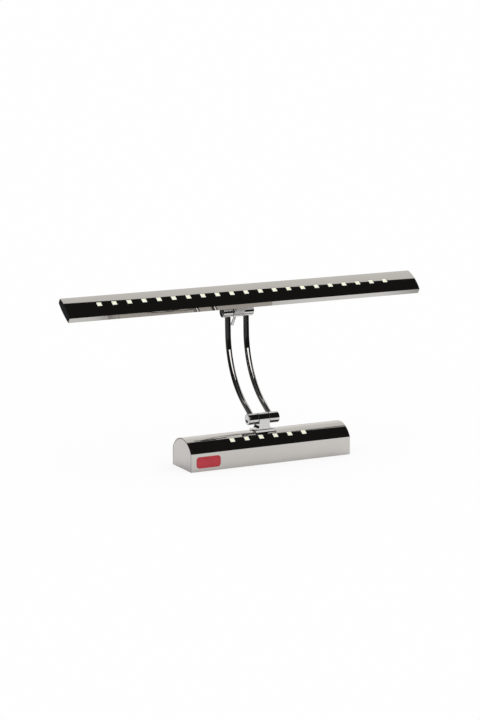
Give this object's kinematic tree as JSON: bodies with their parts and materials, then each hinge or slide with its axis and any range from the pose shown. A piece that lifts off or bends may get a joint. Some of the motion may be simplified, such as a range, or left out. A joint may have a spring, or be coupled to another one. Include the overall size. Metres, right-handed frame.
{
  "type": "picture light",
  "caption": "Wall picture light: long flat LED head on a twin-tube arm, hinged at both ends, over a short closed base with its own LED row.",
  "frame": {"origin": "middle of the mounting plate's back face, which lies on the wall", "axes": "+X along the light's length, +Z out of the wall, +Y towards the side that the arm leans to"},
  "size_m": [0.408, 0.0927, 0.1773],
  "materials": {
    "polished_steel": "mirror polished stainless sheet",
    "end_plate_steel": "mirror polished flat sheet",
    "chrome_parts": "chrome plated castings and turned parts",
    "chrome_tube": "chrome plated tube",
    "black_caps": "black glossy moulded plastic",
    "zinc_sheet": "zinc plated sheet",
    "satin_aluminium": "satin aluminium",
    "screws": "nickel plated screws",
    "pin_steel": "ground steel",
    "brass": "brass",
    "white_board": "white solder mask",
    "led_package": "white package with a pale yellow lens",
    "driver_case": "white plastic, fine texture",
    "terminal_plastic": "natural nylon",
    "wire_cover": "soft black insulation",
    "grommet_rubber": "black rubber",
    "washer_nylon": "dark nylon",
    "red_label": "plain red label"
  },
  "bodies": {
    "base": {"mount_plate": "zinc_sheet", "cable_grommet": "grommet_rubber", "led_driver": "driver_case", "terminal_block": "terminal_plastic", "terminal_screws": "brass", "supply_wires": "wire_cover", "earth_screw": "brass", "base_led_bracket": "zinc_sheet", "base_led_board": "white_board", "base_leds": "led_package", "base_led_wire": "wire_cover", "bracket_screws": "screws", "base_cover": "polished_steel", "cover_screws": "screws", "base_end_plate_left": "end_plate_steel", "base_end_plate_right": "end_plate_steel", "end_plate_screws": "screws", "foot_backing_plate": "zinc_sheet", "foot_screws": "screws", "label_plate": "red_label", "arm_foot": "chrome_parts", "base_wire": "wire_cover"},
    "arm": {"lower_hinge_pin": "pin_steel", "lower_washers": "washer_nylon", "lower_sleeve_left": "chrome_parts", "lower_sleeve_right": "chrome_parts", "lower_cap_left": "chrome_parts", "lower_cap_right": "chrome_parts", "arm_tube_left": "chrome_tube", "arm_tube_right": "chrome_tube", "arm_wire": "wire_cover", "upper_hinge_pin": "pin_steel", "upper_washers": "washer_nylon", "upper_sleeve_left": "chrome_parts", "upper_sleeve_right": "chrome_parts", "upper_cap_left": "chrome_parts", "upper_cap_right": "chrome_parts"},
    "head": {"head_bracket": "chrome_parts", "bracket_pad_screws": "screws", "bracket_nut_plate": "zinc_sheet", "head_shell": "polished_steel", "head_back_plate": "satin_aluminium", "head_end_cap_left": "black_caps", "head_end_cap_right": "black_caps", "head_board_carrier": "satin_aluminium", "head_led_board": "white_board", "head_leds": "led_package", "back_plate_screws": "screws", "head_wire": "wire_cover"},
    "lever": {"tilt_lock_lever": "chrome_parts"}
  },
  "joints": [
    {"name": "arm_tilt", "type": "hinge", "parent": "base", "child": "arm", "pos_m": [0, 0, 0.0437], "axis": [1, 0, 0], "range_deg": [-50, 90]},
    {"name": "head_tilt", "type": "hinge", "parent": "arm", "child": "head", "pos_m": [0, 0.0585, 0.1475], "axis": [1, 0, 0], "range_deg": [-90, 85]},
    {"name": "lock_lever_turn", "type": "hinge", "parent": "head", "child": "lever", "pos_m": [0, 0.0585, 0.1475], "axis": [0, 0.5592, -0.829], "range_deg": [0, 180]}
  ]
}
